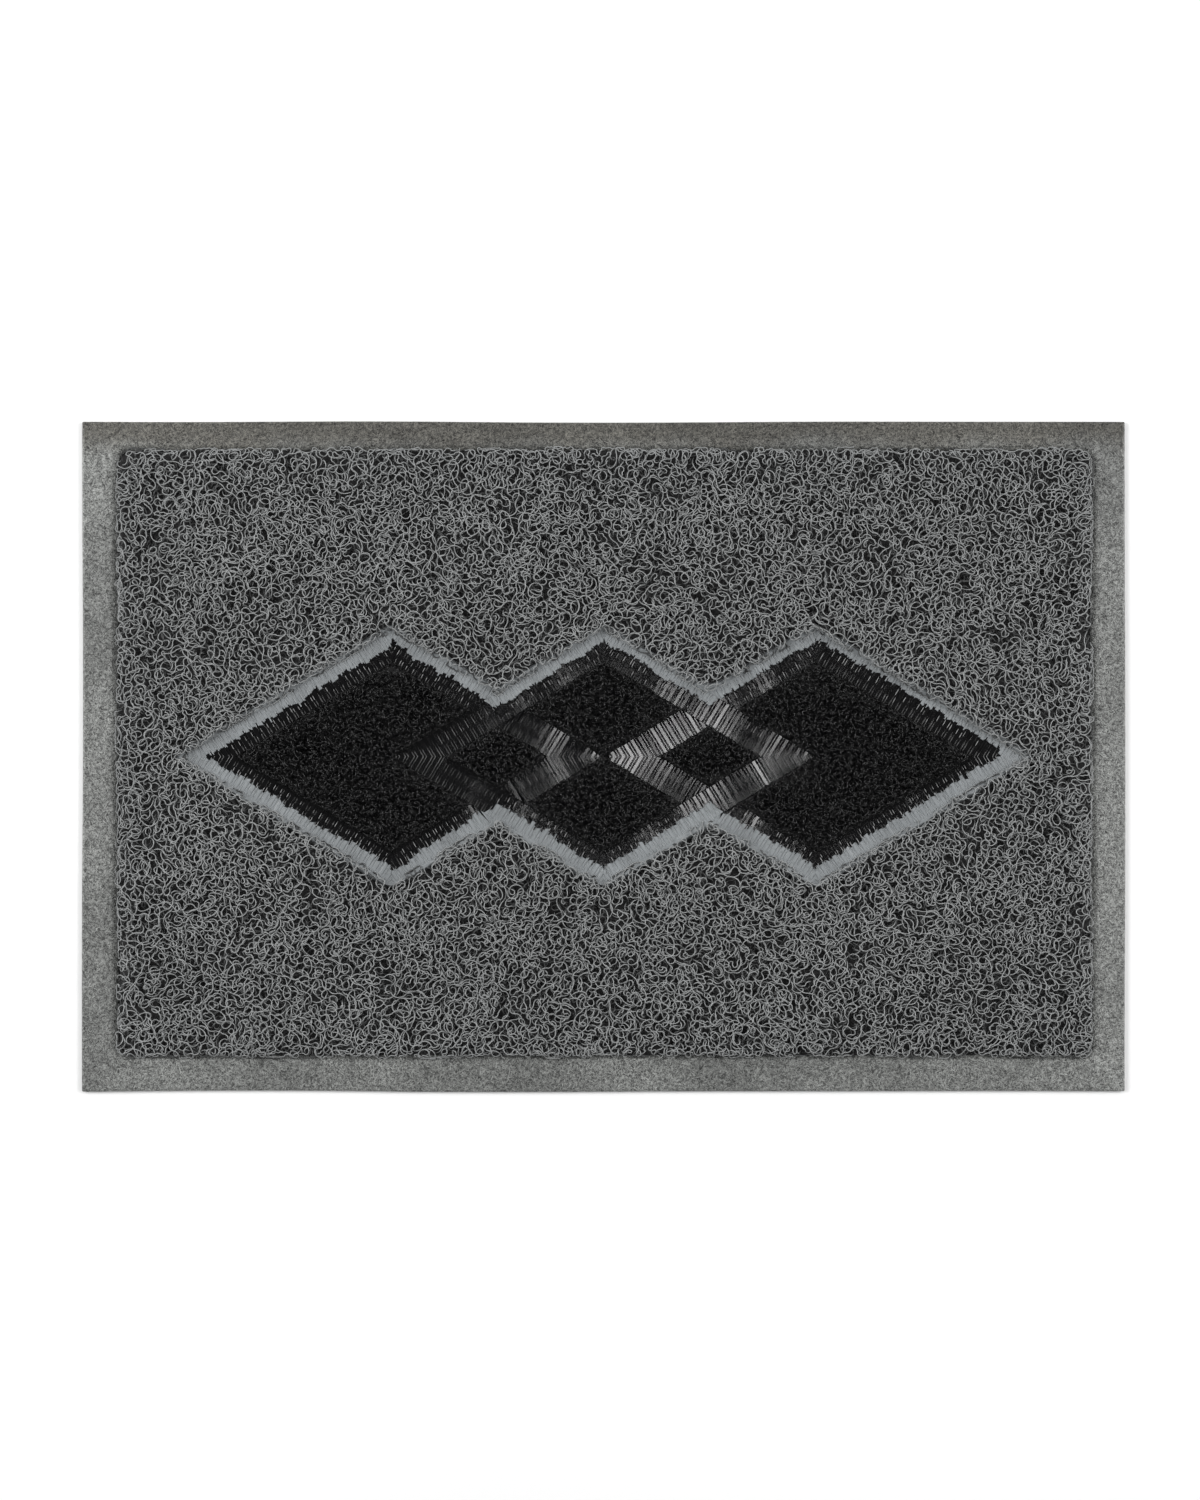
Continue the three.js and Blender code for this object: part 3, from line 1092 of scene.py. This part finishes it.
class MAT_OT_grey_coil(bpy.types.Operator):
    """Make the grey looped pile, in three layers that are cut into patches, with the deeper layers
    darker as painted shade
    """

    bl_idname = "door_mat.grey_coil"
    bl_label = "Grey coil field"

    def execute(self, context):
        sizes = context.scene.mat_sizes
        colours = context.scene.mat_colours
        layers = (
            # name, seed, pitch of the starts, height and swing, tone (painted shade, darker deeper
            # down), sides, patches each way
            ("top", 7, 7.8 * MM, 0.80, 0.24, 1.0, 4, (4, 2)),
            ("middle", 8, 10.6 * MM, 0.48, 0.28, 0.27, 3, (3, 2)),
            ("lower", 9, 16.0 * MM, 0.20, 0.16, 0.10, 3, (1, 1)),
        )
        for name, seed, pitch, middle, swing, tone, sides, grid in layers:
            # Each deeper layer is a darker copy of the same grey: painted shade for the shadow deep
            # in the pile.
            material = extruded_filament(
                f"extruded_grey_vinyl_filament_{name}", toned(colours.grey, tone), 0.42
            )
            paths, heights = grey_layer(sizes, np.random.default_rng(seed), pitch, middle, swing)
            low, high = np.array(FIELD_LOW[:2]), np.array(FIELD_HIGH[:2])
            place = (paths.mean(axis=1) - low) / (high - low) * grid
            cells = np.clip(place.astype(int), 0, np.array(grid) - 1)
            for column, row in itertools.product(range(grid[0]), range(grid[1])):
                chosen = (cells[:, 0] == column) & (cells[:, 1] == row)
                piece = filament(
                    f"grey_coil_{name}_{column + 1}_{row + 1}",
                    paths[chosen], heights[chosen], sizes.grey_filament, sides,
                )
                plan_map(piece)
                finish_piece(piece, material, "coil_grey", "grey_coil_field")
        return {"FINISHED"}


class MAT_OT_grey_weld_rim(bpy.types.Operator):
    """Make the grey weld round the motif, with its ribs and the slope up to the pile"""

    bl_idname = "door_mat.grey_weld_rim"
    bl_label = "Grey weld rim"

    def execute(self, context):
        kinds = {
            "rib": (0, [(0.3, 0.3), (0.4, 0.04)]), "ridge": (0.06, [(0.16, 0.2)]),
            "groove": (0.6, [(0.36, -0.45)]),
        }
        parts = weld_parts(context.scene.mat_sizes, "grey", "grey_weld_rim", 1.4, kinds)
        parts.append(slope_to_pile())
        rim = context.scene.mat_colours.rim
        material = die_pressed_vinyl("die_pressed_grey_vinyl", rim, 0.42, 0.2)
        joined_weld(parts, material, "weld_grey", "grey_weld_rim")
        return {"FINISHED"}


class MAT_OT_black_weld_lattice(bpy.types.Operator):
    """Make the black welds, with the die's ribs in chevrons"""

    bl_idname = "door_mat.black_weld_lattice"
    bl_label = "Black weld lattice"

    def execute(self, context):
        kinds = {
            "rib": (0.1, [(0.22, 0.3)]), "ridge": (0.25, [(0.16, 0.2)]),
            "groove": (0.95, [(0.36, -0.55)]),
        }
        node = "black_weld_lattice"
        parts = weld_parts(context.scene.mat_sizes, "black", node, 1.6, kinds)
        weld = context.scene.mat_colours.weld
        material = die_pressed_vinyl("die_pressed_black_vinyl", weld, 0.12, 0.2)
        joined_weld(parts, material, "weld_black", node)
        return {"FINISHED"}


class MAT_OT_black_piles(bpy.types.Operator):
    """Make the six islands of fine black pile"""

    bl_idname = "door_mat.black_piles"
    bl_label = "Black piles"

    def execute(self, context):
        sizes = context.scene.mat_sizes
        material = extruded_filament(
            "extruded_black_vinyl_filament", context.scene.mat_colours.black, 0.3
        )
        step = 1.3 * MM
        count = 34
        for n, place in enumerate(("left", "right", "back", "front", "small_left", "small_right")):
            rng = np.random.default_rng(40 + n)
            low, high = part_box(f"black_pile_{place}")
            starts = spread_starts(rng, black_depth, low, high, 4.4 * MM)
            paths = coil_paths(
                rng, black_depth, starts, count, step, 0.6 * sizes.loop_tight,
                0.65 * sizes.loop_wide, 0.9 * MM,
            )
            share = loop_heights(rng, len(starts), count, step, 0.62, 0.42)
            depth = black_depth(paths[..., 0], paths[..., 1])
            heights = pile_heights(depth, share, sizes.black_filament)
            piece = filament(f"black_coil_{place}", paths, heights, sizes.black_filament, 3)
            plan_map(piece)
            finish_piece(piece, material, "coil_black", f"black_pile_{place}")
        return {"FINISHED"}


class MAT_OT_studio(bpy.types.Operator):
    """Make the floor, the lights and the camera"""

    bl_idname = "door_mat.studio"
    bl_label = "Studio"

    def execute(self, context):
        deselect_all()
        bpy.ops.mesh.primitive_plane_add(size=8, location=(0, 0, -0.2 * MM))
        floor = context.active_object
        floor.name = "floor"
        floor.data.materials.append(white_paint())

        world = bpy.data.worlds.new("studio_air")
        context.scene.world = world
        world.use_nodes = True
        air = world.node_tree
        air.nodes.clear()
        # Pale walls and a dark ceiling, which is what smooth vinyl mirrors from above.
        way = add(air, "ShaderNodeTexCoord").outputs["Generated"]
        up = add(air, "ShaderNodeSeparateXYZ", links={"Vector": way}).outputs["Z"]
        fall = add(
            air, "ShaderNodeMapRange",
            {"From Min": 0.45, "From Max": 0.97, "To Min": 0.4, "To Max": 0.07},
            {"Value": up}, interpolation_type="SMOOTHSTEP",
        ).outputs["Result"]
        glow = add(air, "ShaderNodeBackground", {"Color": WHITE}, {"Strength": fall})
        add(air, "ShaderNodeOutputWorld", links={"Surface": glow.outputs["Background"]})

        softbox("softbox_left", (-1.9, 0.4, 1.7), (1.4, 1.4), 52)
        softbox("softbox_right", (1.9, 0.4, 1.7), (1.4, 1.4), 45)
        softbox("softbox_back", (0, 2.2, 1.8), (1.6, 0.8), 10)
        softbox("softbox_by_camera", (0.1, 0.0, 2.42), (0.2, 0.06), 0.9, straight_down=True)

        frame_height = 1.00575  # how much of the floor the frame's long side takes in, in metres
        camera = bpy.data.cameras.new("camera")
        camera.lens = 85
        camera.sensor_width = 36
        seat = new_object("camera", camera)
        away = frame_height * camera.lens / camera.sensor_width
        seat.location = (-2.35 * MM, 4.4 * MM, away + 3 * MM)
        context.scene.camera = seat
        context.scene.view_settings.view_transform = "Standard"
        return {"FINISHED"}


class MAT_PT_door_mat(bpy.types.Panel):
    """The door mat's sizes, colours and pieces"""

    bl_idname = "MAT_PT_door_mat"
    bl_label = "Door mat"
    bl_space_type = "VIEW_3D"
    bl_region_type = "UI"
    bl_category = "Door mat"

    def draw(self, context):
        for group in (context.scene.mat_sizes, context.scene.mat_colours):
            box = self.layout.box()
            for name in group.__annotations__:
                box.prop(group, name)
        for operator in OPERATORS:
            self.layout.operator(operator.bl_idname)


OPERATORS = (
    MAT_OT_studio, MAT_OT_backing_sheet, MAT_OT_pressed_edge, MAT_OT_grey_coil,
    MAT_OT_grey_weld_rim, MAT_OT_black_weld_lattice, MAT_OT_black_piles,
)
CLASSES = (DoorMatSizes, DoorMatColours, *OPERATORS, MAT_PT_door_mat)


def register():
    """Registers the classes and hangs the settings on the scene."""
    for made in CLASSES:
        bpy.utils.register_class(made)
    bpy.types.Scene.mat_sizes = bpy.props.PointerProperty(type=DoorMatSizes)
    bpy.types.Scene.mat_colours = bpy.props.PointerProperty(type=DoorMatColours)


def unregister():
    """Takes away all that register added."""
    del bpy.types.Scene.mat_colours
    del bpy.types.Scene.mat_sizes
    for made in reversed(CLASSES):
        bpy.utils.unregister_class(made)


def main():
    """Makes every piece and the stage."""
    register()
    bpy.ops.door_mat.studio()
    bpy.ops.door_mat.backing_sheet()
    bpy.ops.door_mat.pressed_edge()
    bpy.ops.door_mat.grey_coil()
    bpy.ops.door_mat.grey_weld_rim()
    bpy.ops.door_mat.black_weld_lattice()
    bpy.ops.door_mat.black_piles()


if __name__ == "__main__":
    main()
